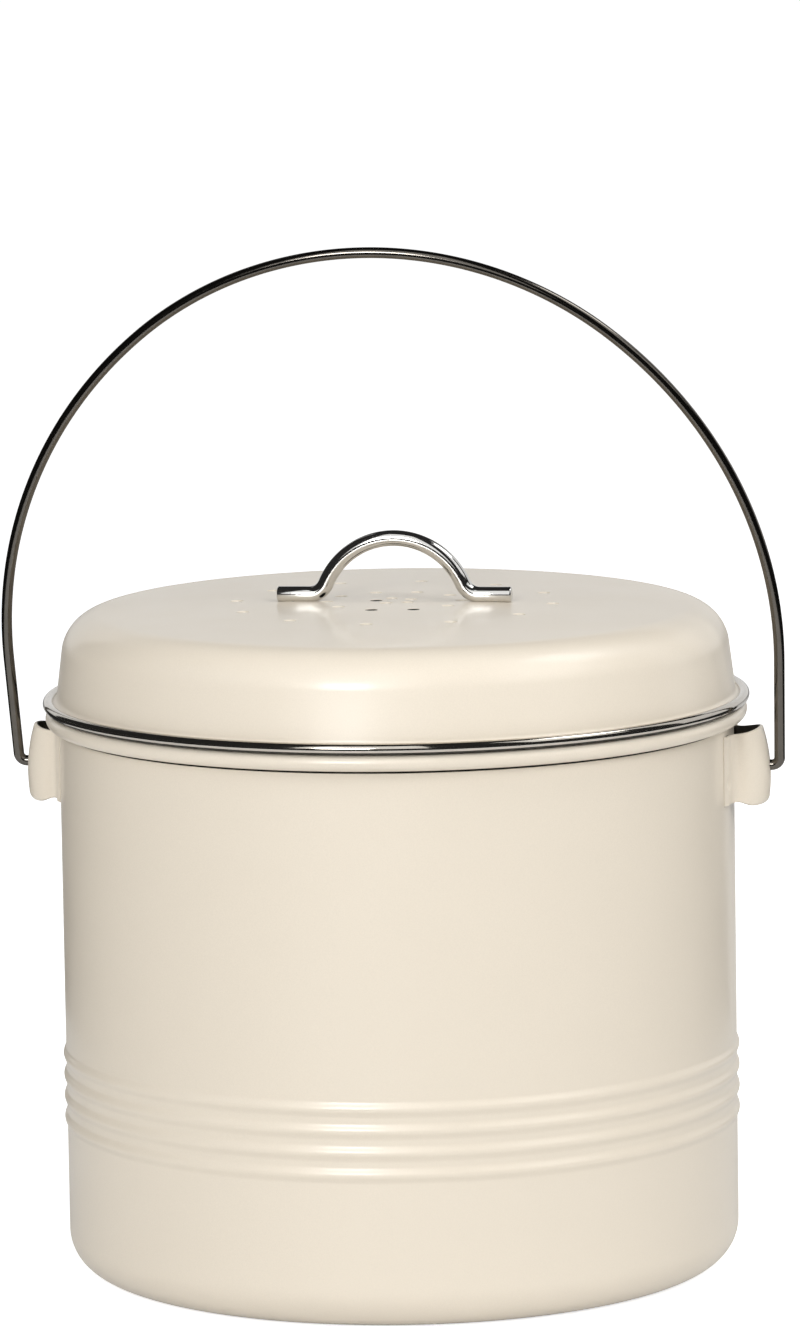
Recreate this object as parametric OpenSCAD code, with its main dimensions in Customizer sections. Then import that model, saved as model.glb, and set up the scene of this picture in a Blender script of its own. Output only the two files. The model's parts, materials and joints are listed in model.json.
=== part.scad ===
// Compost caddy: a steel can with a wire bail, a lift-off domed lid with a charcoal filter,
// and a plastic inner bucket. Millimetres. +Z is up, X runs through the two bail ears,
// and the origin is at the middle of the base, on the surface that the can stands on.

/* [Can] */
// Outer radius of the can's wall
body_r = 100; // [85:1:130]
// Height of the can, to the top of its rolled rim
body_h = 168.2; // [140:0.1:240]
// Thickness of the steel sheet of the can and of the lid
sheet = 0.8; // [0.5:0.1:1.2]
// Outer radius of the rounded edge round the base
base_corner_r = 12; // [8:1:18]
// Width of the flat ring under the base that the can stands on
foot_ring_w = 7; // [4:1:12]
// Height of the raised floor inside the foot ring
base_recess = 2.5; // [1.5:0.5:5]
// Radius of the rolled rim's round section
rim_roll_r = 2.4; // [2:0.1:3.5]

/* [Ribs] */
// Number of raised ribs round the can
rib_count = 4; // [1:1:6]
// Height of the lowest rib's middle
rib_z = 46; // [30:1:80]
// Distance from one rib to the next
rib_pitch = 6.4; // [5.5:0.1:10]
// How far a rib stands out of the wall
rib_out = 0.75; // [0.4:0.05:1.5]
// Radius of a rib's round crest
rib_r = 2.2; // [1.8:0.1:2.6]

/* [Bail ears] */
// How far an ear's arch stands out of the can's wall
ear_out = 11.3; // [10:0.5:16]
// Half of the width of an ear's arch
ear_arch_r = 8.7; // [8:0.1:10]
// Half of the width of a whole ear, with its welded flanges
ear_half_w = 15.7; // [15:0.1:20]
// Height of an ear where it meets the can
ear_h = 20.6; // [16:0.1:26]
// Thickness of the sheet that an ear is pressed from
ear_sheet = 1.2; // [0.8:0.1:1.6]
// Distance from the can's rim down to the hole for the bail
hinge_drop = 18; // [15:0.1:30]
// Radius of the outward bow of an ear's face, seen from the side
ear_bow_r = 48; // [30:1:60]
// How far below the hinge an ear's face stands out most
ear_bow_drop = 3; // [0:0.5:5]
// Radius of the concave blend between an arch and its flange
ear_blend_r = 3; // [2:0.1:3]
// Depth of a spot weld's dimple in a flange
weld_dimple = 0.5; // [0.3:0.05:0.7]
// Distance from the middle of a spot weld to the end of its flange
weld_in = 2.5; // [2:0.1:3.5]

/* [Carry bail] */
// Thickness of the bail's wire
wire_d = 3.2; // [2.5:0.1:4]
// Distance from the hinge axis to the top of the bail, at the middle of the wire
bail_reach = 161; // [150:0.5:190]
// Distance from an ear's face to the middle of a leg, at the hinge
bail_leg_out = 2.6; // [2.5:0.1:10]
// How much smaller the radius of the bail's top is than a leg's distance from the can's axis
bail_bow_in = 7.1; // [2:0.1:10]
// How much larger the radius of the bail's shoulders is than that of its top
bail_side_out = 22.6; // [5:0.1:25]
// Angle that the arc of the bail's top covers on each side of its middle
bail_bow_half = 40; // [30:1:60]
// Radius of the bend from a leg into the ear, at the middle of the wire
bail_bend_r = 2.4; // [2.2:0.1:4]
// Angle that the bail leans forward at rest
bail_lean = 15; // [0:1:20]
// Gap all round the wire in the ear's hole
hinge_clear = 0.05; // [0.02:0.01:0.1]
// Radius of the upset head that keeps the wire in the ear
bail_head_r = 2.7; // [2.4:0.1:3.5]
// Thickness of the upset head
bail_head_t = 1.4; // [1:0.1:2]

/* [Lid] */
// Height of the lid, from its steel trim to the top of the dome
lid_h = 28.6; // [24:0.1:40]
// How far the foot of the dome's wall stands outside the can's wall
lid_wall_out = 0.5; // [0:0.1:1]
// Angle that the dome's wall leans in
lid_draft = 7.2; // [2:0.1:12]
// Radius of the dome's round shoulder
lid_shoulder_r = 12.8; // [8:0.1:18]
// Slope of the dome's top where it meets the shoulder
lid_crown = 2.2; // [1:0.1:8]
// Radius of the hollow curve between the dome and its flange
lid_flare_r = 2; // [1.5:0.1:2]
// Radius of the round steel trim on the edge of the lid
trim_r = 1.6; // [1.4:0.1:1.8]
// How far the trim stands out past the can's rim
trim_out = 0.75; // [0.3:0.05:1]
// Gap between the lid's trim and the can's rim
lid_gap = 0.3; // [0.2:0.05:0.5]

/* [Lid vents] */
// Diameter of a vent hole
vent_d = 3.6; // [2:0.1:4]
// Radius of the inner ring of vents
vent_inner_r = 5.5; // [5:0.5:9]
// Number of vents in the inner ring
vent_inner_count = 5; // [3:1:5]
// Angle from the right-hand side to the first vent of the inner ring
vent_inner_start = 34; // [0:1:72]
// Radius of the middle ring of vents
vent_middle_r = 20; // [15:0.5:22]
// Number of vents in the middle ring
vent_middle_count = 10; // [6:1:12]
// Angle from the right-hand side to the first vent of the middle ring
vent_middle_start = 6; // [0:1:36]
// Radius of the outer ring of vents
vent_outer_r = 47.5; // [40:0.5:48]
// Number of vents in the outer ring
vent_outer_count = 12; // [8:1:16]
// Angle from the right-hand side to the first vent of the outer ring
vent_outer_start = 28; // [0:1:30]

/* [Lid handle] */
// Thickness of the handle's bar
handle_d = 4.75; // [4:0.05:6]
// Rise of the handle's arch over its feet, at the middle of the bar
handle_rise = 16.8; // [12:0.1:22]
// Radius of the handle's arch, at the middle of the bar
handle_arch_r = 22.2; // [18:0.1:24]
// Radius of the bends into the feet, at the middle of the bar
handle_bend_r = 5.5; // [4:0.1:8]
// Length of a foot's straight part
handle_foot = 9.5; // [8:0.1:14]
// Depth of the flat that a foot sits on
handle_flat = 0.3; // [0.2:0.05:0.5]

/* [Handle screws] */
// Diameter of a screw's thread
screw_d = 2.5; // [2:0.5:3]
// Diameter of a screw's head
screw_head_d = 5; // [4:0.1:5.5]
// Height of a screw's head
screw_head_h = 1.6; // [1.2:0.1:2]
// Depth of a screw in the handle's foot
screw_bite = 3.2; // [2.5:0.1:3.4]
// Diameter of a washer
washer_d = 7; // [6:0.1:8]
// Thickness of a washer
washer_t = 0.5; // [0.4:0.1:0.8]

/* [Locating ring and seal] */
// How far the locating ring reaches down into the can
skirt_depth = 7.2; // [5:0.1:12]
// Thickness of the locating ring
skirt_t = 1.6; // [1.4:0.1:2.2]
// Gap between the locating ring and the can's wall
skirt_gap = 0.6; // [0.5:0.05:1]
// Height of the seal's base
seal_h = 3; // [2.4:0.1:3.4]
// Depth of the groove that the seal sits in
seal_groove = 0.9; // [0.6:0.1:1]
// Gap between the seal's lips and the can's wall
seal_gap = 0.3; // [0.25:0.05:0.4]

/* [Charcoal filter] */
// Radius of the filter pad
filter_r = 49; // [47:0.5:55]
// Thickness of the filter pad
filter_t = 8; // [5:0.5:10]
// Thickness of the holder's and the cover's walls
filter_wall = 2; // [1.6:0.1:2.4]
// Width of the holder's tabs
tab_w = 8; // [8:0.5:12]
// Thickness of the holder's tabs
tab_t = 2.6; // [2:0.1:4]
// Turn of the cover between locked and free
cover_turn = 30; // [20:1:40]

/* [Inner bucket] */
// Thickness of the bucket's wall
bucket_wall = 1.6; // [1.2:0.1:2.4]
// Outer radius of the bucket at its bottom
bucket_bottom_r = 84; // [75:1:86]
// Width of the bucket's rim outside its wall
bucket_rim_w = 3.4; // [2.5:0.1:5]
// Height of the lip that hangs down from the bucket's rim
bucket_lip_h = 8; // [5:0.5:12]
// Radius of the bucket's bottom edge
bucket_corner_r = 6; // [5:0.5:8]
// Gap between the bucket's rim and the lid's locating ring, sideways
bucket_gap = 5; // [2:0.1:6]

/* [Hidden] */
$fn = 96;
// Facets for the very large circle of the lid's crown
crown_fn = 256;
// Gap between pieces that move apart, and where a piece stands on another
seat_gap = 0.3;
// Overlap that keeps a cut from ending on a face
eps = 1;
// A bent wire is made of lengths that meet in a joint a hair thicker than the wire
joint_gap = 0.05;
joint_swell = 0.02;

steel_colour = [0.72, 0.70, 0.66];
wire_colour = [0.55, 0.52, 0.48];
cream = [0.93, 0.89, 0.82];
light_plastic = [0.86, 0.85, 0.82];
seal_colour = [0.80, 0.80, 0.78];
charcoal = [0.12, 0.12, 0.12];
bucket_colour = [0.45, 0.46, 0.45];

// The can's rim, and the axis that the bail turns on
rim_c_r = body_r - sheet + rim_roll_r;
rim_c_z = body_h - rim_roll_r;
rim_out_r = rim_c_r + rim_roll_r;
hinge_z = body_h - hinge_drop;
floor_z = base_recess + sheet;
recess_r = body_r - base_corner_r - foot_ring_w;

// The lid's trim and flange
trim_c_r = rim_out_r + trim_out - trim_r;
trim_z = body_h + lid_gap + trim_r;
flange_top = trim_z + sheet / 2;
lid_top = trim_z + lid_h;
// Middle of the hollow curve at the foot of the dome
flare_z = flange_top + lid_flare_r;
flare_x = body_r + lid_wall_out + lid_flare_r / cos(lid_draft);
// Middle of the shoulder's arc, which meets the wall and the crown without a corner
shoulder_x = (body_r + lid_wall_out - lid_shoulder_r * cos(lid_draft)
    - (lid_top - lid_shoulder_r + lid_shoulder_r * sin(lid_draft) - flare_z) * tan(lid_draft))
    / (1 - tan(lid_crown / 2) * tan(lid_draft));
shoulder_z = lid_top - lid_shoulder_r - shoulder_x * tan(lid_crown / 2);
// The crown is part of a large sphere
crown_r = lid_shoulder_r + shoulder_x / sin(lid_crown);
crown_z = lid_top - crown_r;

// The locating ring, the seal and the bucket under them
skirt_r = body_r - sheet - skirt_gap;
skirt_z = body_h - skirt_depth;
skirt_top = flare_z + 3.4;
seal_z = skirt_z + (rim_c_z - skirt_z) / 2;
seal_lip_r = 0.7;
bucket_top = skirt_z - 1;
bucket_z = floor_z + seat_gap;
bucket_rim_r = skirt_r - skirt_t - bucket_gap;
bucket_top_r = bucket_rim_r - bucket_rim_w;

// The handle: an arch and two bends that meet at this angle
handle_angle = acos(1 - handle_rise / (handle_arch_r + handle_bend_r));
handle_bend_x = (handle_arch_r + handle_bend_r) * sin(handle_angle);
handle_half = handle_bend_x + handle_foot;
screw_x = handle_bend_x + handle_foot / 2;
foot_z = crown_height(screw_x) + handle_d / 2 - handle_flat;

// The stack under the lid: tab, washer, screw head, pad and cover
tab_z = lid_top - sheet - tab_t;
head_z = tab_z - washer_t - screw_head_h;
pad_top = head_z - seat_gap;
pad_z = pad_top - filter_t;
cover_top = pad_z;
cover_in_r = filter_r + seat_gap;
cover_out_r = cover_in_r + filter_wall;
holder_in_r = cover_out_r + seat_gap;
holder_out_r = holder_in_r + filter_wall;
holder_z = cover_top + seat_gap;
cover_wall_h = 6;
// Bayonet lugs on the cover, and the slots that they turn in
lug_count = 3;
lug_half = 5;
lug_h = 2;
lug_z = cover_top + 2.4;
lug_r = holder_out_r - 0.6;
lug_gap = 0.3;

// The bail has an arc at its top, a wider one at each shoulder, and legs tangent to those
ear_face_x = body_r + ear_out;
bail_leg_x = ear_face_x + bail_leg_out;
bail_bow_r = bail_leg_x - bail_bow_in;
bail_side_r = bail_bow_r + bail_side_out;
bow_z = bail_reach - bail_bow_r;
side_x = -bail_side_out * sin(bail_bow_half);
side_z = bow_z - bail_side_out * cos(bail_bow_half);
leg_reach = norm([bail_leg_x - side_x, side_z]);
leg_splay = atan2(bail_leg_x - side_x, side_z) - asin(bail_side_r / leg_reach);
leg_len = sqrt(leg_reach * leg_reach - bail_side_r * bail_side_r);
bend_x = bail_leg_x - bail_bend_r * (1 + sin(leg_splay)) * tan(leg_splay) - bail_bend_r * cos(leg_splay);
leg_start = bail_bend_r * (1 + sin(leg_splay)) / cos(leg_splay);
head_x = ear_face_x - ear_sheet - 4.6;

// Height of the lid's outer surface at a distance from its axis, within the crown
function crown_height(r) = crown_z + sqrt(crown_r * crown_r - r * r);

// ---- The can ----

// Section of the can with its wall moved in: 0 is the outside, sheet is the inside
module can_section(inset) {
    corner = base_corner_r;
    translate([0, corner])
        square([body_r - inset, rim_c_z - corner]);
    translate([0, inset])
        square([body_r - corner, corner]);
    translate([body_r - corner, corner])
        circle(r = corner - inset);
    for (i = [0 : rib_count - 1])
        translate([body_r + rib_out - rib_r, rib_z + i * rib_pitch])
            circle(r = rib_r - inset);
}

// The raised floor, up to the height given
module recess_section(r, top) {
    translate([-eps, -eps])
        square([r + eps, top + eps]);
}

module body_shell() {
    color(cream)
    rotate_extrude() {
        difference() {
            can_section(0);
            recess_section(recess_r, base_recess);
            difference() {
                can_section(sheet);
                recess_section(recess_r + sheet, floor_z);
            }
            translate([0, rim_c_z - eps])
                square([body_r - sheet, 2 * eps]);
        }
        translate([rim_c_r, rim_c_z])
        difference() {
            circle(r = rim_roll_r);
            circle(r = rim_roll_r - sheet);
        }
    }
}

// ---- The ears that carry the bail ----

// Plan of an ear's arch, grown from its inside to its outside
module arch_plan(r) {
    back = body_r - eps;
    centre = ear_face_x - ear_arch_r;
    translate([centre, 0])
        circle(r = r);
    translate([back, -r])
        square([centre - back, 2 * r]);
}

// Concave blend in the corner between the arch and a flange
module blend_plan() {
    flange_r = body_r + ear_sheet;
    start_x = sqrt(flange_r * flange_r - pow(ear_arch_r + ear_blend_r, 2));
    difference() {
        translate([body_r - eps, ear_arch_r - eps])
            square([start_x + ear_blend_r - body_r + eps, ear_blend_r + eps]);
        translate([start_x + ear_blend_r, ear_arch_r + ear_blend_r])
            circle(r = ear_blend_r);
    }
}

// A cylinder along Y, for the curves that show from the side
module along_y(x, z, r) {
    translate([x, 0, z])
    rotate([90, 0, 0])
        cylinder(r = r, h = 4 * ear_half_w, center = true);
}

module right_ear_solid() {
    low = hinge_z - ear_h / 2;
    high = hinge_z + ear_h / 2;
    top_curve_r = 45;
    bottom_curve_r = 70;
    bow_x = ear_face_x - ear_bow_r;
    face_z = hinge_z - ear_bow_drop;
    tall = 3 * ear_h;
    dimple_r = 6;
    dimple_turn = asin((ear_half_w - weld_in) / (body_r + ear_sheet));
    difference() {
        intersection() {
            translate([0, 0, hinge_z - tall / 2])
            linear_extrude(tall) {
                arch_plan(ear_arch_r);
                blend_plan();
                mirror([0, 1])
                    blend_plan();
                intersection() {
                    circle(r = body_r + ear_sheet);
                    translate([body_r - 2 * ear_sheet, -ear_half_w])
                        square([3 * ear_sheet, 2 * ear_half_w]);
                }
            }
            along_y(bow_x, face_z, ear_bow_r);
        }
        // The hollow behind the face
        intersection() {
            translate([0, 0, hinge_z - tall / 2])
            linear_extrude(tall)
                arch_plan(ear_arch_r - ear_sheet);
            along_y(bow_x, face_z, ear_bow_r - ear_sheet);
        }
        // The can's wall, which the flanges fit
        translate([0, 0, hinge_z - tall])
            cylinder(r = body_r, h = 2 * tall);
        // The edges rise towards the face at the top, and fall towards it below
        along_y(body_r, high + top_curve_r, top_curve_r);
        along_y(body_r, low - bottom_curve_r, bottom_curve_r);
        // The hole that the bail turns in
        translate([body_r, 0, hinge_z])
        rotate([0, 90, 0])
            cylinder(d = wire_d + 2 * hinge_clear, h = 2 * ear_out);
        // A spot weld's dimple in each flange
        for (side = [-1, 1])
            rotate([0, 0, side * dimple_turn])
            translate([body_r + ear_sheet + dimple_r - weld_dimple, 0, hinge_z - ear_h / 6])
                sphere(r = dimple_r);
    }
}

module right_ear() {
    color(cream)
        right_ear_solid();
}

module left_ear() {
    color(cream)
    mirror([1, 0, 0])
        right_ear_solid();
}

// ---- The wire bail ----

// Joint between two lengths of bent wire
module wire_joint(x, z, r) {
    translate([x, 0, z])
        sphere(r = r + joint_swell);
}

// Arc of wire in the plane of the bail, short of both its ends by the gap of a joint
module wire_arc(x, z, r, from, to) {
    short = joint_gap / r * 180 / PI;
    translate([x, 0, z])
    rotate([90, 0, 0])
    rotate([0, 0, from + short])
    rotate_extrude(angle = to - from - 2 * short)
        translate([r, 0])
            circle(d = wire_d);
}

// One leg of the bail with its shoulder, standing upright, with the hinge axis at height 0
module bail_leg() {
    wire_r = wire_d / 2;
    // Pin through the ear, and its upset head inside
    translate([head_x, 0, 0])
    rotate([0, 90, 0])
        cylinder(r = wire_r, h = bend_x - joint_gap - head_x);
    translate([head_x, 0, 0])
    rotate([0, 90, 0])
        cylinder(r = bail_head_r, h = bail_head_t);
    // Bend up into the leg
    translate([bend_x, 0, bail_bend_r])
    rotate([90, 0, 0])
    rotate([0, 0, -90])
    rotate_extrude(angle = 90 + leg_splay)
        translate([bail_bend_r, 0])
            circle(r = wire_r);
    // Leg
    translate([bail_leg_x, 0, 0])
    rotate([0, -leg_splay, 0])
    translate([0, 0, leg_start + joint_gap])
        cylinder(r = wire_r, h = leg_len - leg_start - 2 * joint_gap);
    wire_joint(bend_x, 0, wire_r);
    wire_joint(bend_x + bail_bend_r * cos(leg_splay), bail_bend_r * (1 + sin(leg_splay)), wire_r);
    // Shoulder
    wire_arc(side_x, side_z, bail_side_r, leg_splay, 90 - bail_bow_half);
    wire_joint(side_x + bail_side_r * cos(leg_splay), side_z + bail_side_r * sin(leg_splay), wire_r);
    wire_joint(bail_bow_r * sin(bail_bow_half), bow_z + bail_bow_r * cos(bail_bow_half), wire_r);
}

module carry_bail() {
    color(wire_colour)
    translate([0, 0, hinge_z])
    rotate([bail_lean, 0, 0]) {
        bail_leg();
        mirror([1, 0, 0])
            bail_leg();
        wire_arc(0, bow_z, bail_bow_r, 90 - bail_bow_half, 90 + bail_bow_half);
    }
}

// ---- The inner bucket ----

// Section of the bucket's wall and bottom, moved in by the inset
module bucket_section(inset) {
    corner_x = bucket_bottom_r - bucket_corner_r;
    corner_z = bucket_z + bucket_corner_r;
    r = bucket_corner_r - inset;
    translate([corner_x, corner_z])
        circle(r = r);
    polygon([
        [0, bucket_z + inset],
        [corner_x, bucket_z + inset],
        [corner_x + r, corner_z],
        [bucket_top_r - inset, bucket_top + (inset > 0 ? eps : 0)],
        [0, bucket_top + (inset > 0 ? eps : 0)]
    ]);
}

module inner_bucket() {
    color(bucket_colour)
    rotate_extrude() {
        difference() {
            bucket_section(0);
            bucket_section(bucket_wall);
        }
        translate([bucket_top_r - bucket_wall, bucket_top - bucket_wall])
            square([bucket_rim_r - bucket_top_r + bucket_wall, bucket_wall]);
        translate([bucket_rim_r - bucket_wall, bucket_top - bucket_lip_h])
            square([bucket_wall, bucket_lip_h]);
    }
}

// ---- The lid ----

// Section of everything under the lid's sheet: 0 is its outer face, sheet is its inner face
module under_lid_section(inset) {
    low = skirt_z - 2 * eps;
    shoulder = lid_shoulder_r - inset;
    flare = lid_flare_r + inset;
    crown_join = [shoulder_x + shoulder * sin(lid_crown), shoulder_z + shoulder * cos(lid_crown)];
    wall_top = [shoulder_x + shoulder * cos(lid_draft), shoulder_z + shoulder * sin(lid_draft)];
    wall_foot = [flare_x - flare * cos(lid_draft), flare_z - flare * sin(lid_draft)];
    difference() {
        polygon([
            [0, low],
            [flare_x, low],
            [flare_x, flare_z],
            wall_foot,
            wall_top,
            [shoulder_x, shoulder_z],
            crown_join,
            [0, crown_join[1]]
        ]);
        translate([flare_x, flare_z])
            circle(r = flare);
    }
    translate([shoulder_x, shoulder_z])
        circle(r = shoulder);
    intersection() {
        translate([0, crown_z])
            circle(r = crown_r - inset, $fn = crown_fn);
        translate([0, crown_join[1]])
            square([crown_join[0], lid_h]);
    }
    translate([flare_x - eps, low])
        square([trim_c_r - flare_x + eps, flange_top - inset - low]);
}

module lid_sheet_section() {
    difference() {
        under_lid_section(0);
        under_lid_section(sheet);
    }
}

// Everything inside the lid, as a solid
module under_lid(inset) {
    rotate_extrude()
        under_lid_section(inset);
}

module at_screws() {
    for (x = [-screw_x, screw_x])
        translate([x, 0, 0])
            children();
}

// A ring of vent holes, whose first hole is turned by start
module vent_ring(r, count, start) {
    for (i = [0 : count - 1])
        rotate([0, 0, start + i * 360 / count])
        translate([r, 0, tab_z - eps])
            cylinder(d = vent_d, h = lid_h);
}

module lid_shell() {
    color(cream)
    difference() {
        rotate_extrude()
            lid_sheet_section();
        vent_ring(vent_inner_r, vent_inner_count, vent_inner_start);
        vent_ring(vent_middle_r, vent_middle_count, vent_middle_start);
        vent_ring(vent_outer_r, vent_outer_count, vent_outer_start);
        at_screws()
            translate([0, 0, lid_top - lid_h / 2])
                cylinder(d = screw_d, h = lid_h);
    }
}

module lid_trim_ring() {
    color(steel_colour)
    rotate_extrude()
    difference() {
        translate([trim_c_r, trim_z])
            circle(r = trim_r);
        lid_sheet_section();
    }
}

module seal_groove_section(depth) {
    translate([skirt_r - depth, seal_z - seal_h / 2])
        square([depth, seal_h]);
}

module lid_locating_ring() {
    color(light_plastic)
    rotate_extrude() {
        difference() {
            translate([skirt_r - skirt_t, skirt_z])
                square([skirt_t, skirt_top - skirt_z]);
            translate([eps, 0])
                seal_groove_section(seal_groove + eps);
        }
        // Band that is joined to the inside of the dome's wall
        intersection() {
            translate([skirt_r - skirt_t, flare_z])
                square([skirt_t + body_r - skirt_r, skirt_top - flare_z]);
            under_lid_section(sheet);
        }
    }
}

module lid_seal() {
    lip_x = body_r - sheet - seal_gap - seal_lip_r;
    color(seal_colour)
    rotate_extrude() {
        seal_groove_section(seal_groove);
        for (side = [-1, 1])
            intersection() {
                translate([lip_x, seal_z + side * seal_h / 4])
                    circle(r = seal_lip_r);
                translate([lip_x, seal_z - seal_h / 2])
                    square([2 * seal_lip_r, seal_h]);
            }
    }
}

// ---- The lid's handle and its screws ----

// One foot of the handle, with the bend up into the arch
module handle_leg() {
    bar_r = handle_d / 2;
    short = joint_gap / handle_bend_r * 180 / PI;
    translate([handle_bend_x, 0, foot_z + handle_bend_r])
    rotate([90, 0, 0])
    rotate([0, 0, 270 - handle_angle + short])
    rotate_extrude(angle = handle_angle - short)
        translate([handle_bend_r, 0])
            circle(r = bar_r);
    translate([handle_bend_x + joint_gap, 0, foot_z])
    rotate([0, 90, 0])
        cylinder(r = bar_r, h = handle_foot - joint_gap);
    wire_joint(handle_bend_x, foot_z, bar_r);
    wire_joint(handle_arch_r * sin(handle_angle), foot_z + handle_bend_r * (1 - cos(handle_angle)), bar_r);
}

module lid_handle() {
    arch_z = foot_z + handle_rise - handle_arch_r;
    color(steel_colour)
    difference() {
        union() {
            handle_leg();
            mirror([1, 0, 0])
                handle_leg();
            translate([0, 0, arch_z])
            rotate([90, 0, 0])
            rotate([0, 0, 90 - handle_angle])
            rotate_extrude(angle = 2 * handle_angle)
                translate([handle_arch_r, 0])
                    circle(d = handle_d);
        }
        under_lid(0);
        at_screws()
            translate([0, 0, lid_top - lid_h / 2])
                cylinder(d = screw_d, h = lid_h / 2 + screw_bite);
    }
}

module handle_screws() {
    socket_d = screw_head_d * 0.45;
    shaft_top = lid_top + screw_bite;
    color(steel_colour)
    at_screws()
    difference() {
        union() {
            translate([0, 0, head_z])
                cylinder(d = screw_head_d, h = screw_head_h);
            translate([0, 0, head_z])
                cylinder(d = screw_d, h = shaft_top - head_z);
        }
        translate([0, 0, head_z - eps])
            cylinder(d = socket_d, h = screw_head_h / 2 + eps, $fn = 6);
    }
}

module handle_washers() {
    color(steel_colour)
    at_screws()
    translate([0, 0, tab_z - washer_t])
    difference() {
        cylinder(d = washer_d, h = washer_t);
        translate([0, 0, -eps])
            cylinder(d = screw_d, h = washer_t + 2 * eps);
    }
}

// ---- The filter under the lid ----

module filter_holder() {
    turn_room = lug_half + lug_gap;
    gate_room = turn_room - lug_gap / 2;
    slot_step = 360 / lug_count;
    color(light_plastic)
    difference() {
        intersection() {
            union() {
                rotate_extrude()
                    translate([holder_in_r, holder_z])
                        square([filter_wall, lid_top - holder_z]);
                // Tabs that the handle's screws hold against the lid
                for (turn = [0, 180])
                    rotate([0, 0, turn]) {
                        translate([screw_x, 0, tab_z])
                            cylinder(d = tab_w, h = 2 * tab_t);
                        translate([screw_x, -tab_w / 2, tab_z])
                            cube([holder_in_r + filter_wall / 2 - screw_x, tab_w, 2 * tab_t]);
                    }
            }
            under_lid(sheet);
        }
        at_screws()
            translate([0, 0, tab_z - eps])
                cylinder(d = screw_d, h = 4 * tab_t);
        // Vents that lie over a tab go through it
        vent_ring(vent_outer_r, vent_outer_count, vent_outer_start);
        // Slots that the cover's lugs turn in, and the gates that they enter by
        for (i = [0 : lug_count - 1]) {
            rotate([0, 0, i * slot_step - turn_room])
            rotate_extrude(angle = cover_turn + 2 * turn_room)
                translate([holder_in_r - eps, lug_z - lug_gap])
                    square([filter_wall + 2 * eps, lug_h + 2 * lug_gap]);
            rotate([0, 0, i * slot_step + cover_turn - gate_room])
            rotate_extrude(angle = 2 * gate_room)
                translate([holder_in_r - 2 * eps, holder_z - eps])
                    square([filter_wall + 4 * eps, lug_z + lug_h / 2 - holder_z + eps]);
        }
    }
}

module charcoal_filter() {
    color(charcoal)
    translate([0, 0, pad_z])
        cylinder(r = filter_r, h = filter_t);
}

module filter_cover() {
    grip_l = 44;
    grip_w = 6;
    grip_h = 5;
    slot_w = 3.2;
    slot_start = 18;
    slot_len = 24;
    slot_count = 16;
    plate_z = cover_top - filter_wall;
    color(light_plastic)
    difference() {
        union() {
            rotate_extrude() {
                translate([0, plate_z])
                    square([holder_out_r, filter_wall]);
                translate([cover_in_r, plate_z])
                    square([filter_wall, filter_wall + cover_wall_h]);
            }
            for (i = [0 : lug_count - 1])
                rotate([0, 0, i * 360 / lug_count - lug_half])
                rotate_extrude(angle = 2 * lug_half)
                    translate([cover_out_r - filter_wall / 2, lug_z])
                        square([lug_r - cover_out_r + filter_wall / 2, lug_h]);
            // Bar to turn the cover by
            intersection() {
                translate([-grip_l / 2, -grip_w / 2, plate_z - grip_h])
                    cube([grip_l, grip_w, grip_h + filter_wall / 2]);
                translate([0, 0, plate_z - grip_h])
                    cylinder(d = grip_l, h = 2 * grip_h);
            }
        }
        for (i = [0 : slot_count - 1])
            rotate([0, 0, (i + 0.5) * 360 / slot_count]) {
                translate([slot_start, -slot_w / 2, plate_z - eps])
                    cube([slot_len, slot_w, filter_wall + 2 * eps]);
                for (x = [slot_start, slot_start + slot_len])
                    translate([x, 0, plate_z - eps])
                        cylinder(d = slot_w, h = filter_wall + 2 * eps);
            }
    }
}

body_shell();
left_ear();
right_ear();
carry_bail();
inner_bucket();
lid_shell();
lid_trim_ring();
lid_locating_ring();
lid_seal();
lid_handle();
handle_washers();
handle_screws();
filter_holder();
charcoal_filter();
filter_cover();
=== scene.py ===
import json
import math

import bmesh
import bpy
from mathutils import Matrix, Vector


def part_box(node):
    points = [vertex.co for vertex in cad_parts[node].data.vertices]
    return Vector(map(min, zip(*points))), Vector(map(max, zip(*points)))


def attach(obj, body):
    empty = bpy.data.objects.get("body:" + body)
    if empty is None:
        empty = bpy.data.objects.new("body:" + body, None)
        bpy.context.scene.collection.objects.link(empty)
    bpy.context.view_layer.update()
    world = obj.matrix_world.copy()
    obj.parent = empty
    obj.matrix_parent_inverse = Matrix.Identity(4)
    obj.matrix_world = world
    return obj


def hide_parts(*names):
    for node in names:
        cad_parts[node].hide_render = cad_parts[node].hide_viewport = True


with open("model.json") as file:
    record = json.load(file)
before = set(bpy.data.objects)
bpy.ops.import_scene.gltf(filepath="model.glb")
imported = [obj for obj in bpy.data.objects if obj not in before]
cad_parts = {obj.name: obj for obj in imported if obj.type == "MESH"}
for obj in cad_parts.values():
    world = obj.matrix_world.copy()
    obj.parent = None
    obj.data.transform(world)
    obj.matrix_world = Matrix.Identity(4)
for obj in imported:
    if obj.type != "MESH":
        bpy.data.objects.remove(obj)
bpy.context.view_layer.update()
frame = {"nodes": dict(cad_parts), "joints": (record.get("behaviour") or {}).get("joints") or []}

# The looks of a compost caddy: a cream enamelled can with a domed lid, a wire bail and a chromed pull.
# Lengths are in metres, and MM turns the sizes of the part into metres.
MM = 0.001
TURN_STEPS = 256
WIRE_SIDES = 32
SHARP_ANGLE = math.radians(35)
UP = Vector((0, 0, 1))

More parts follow.
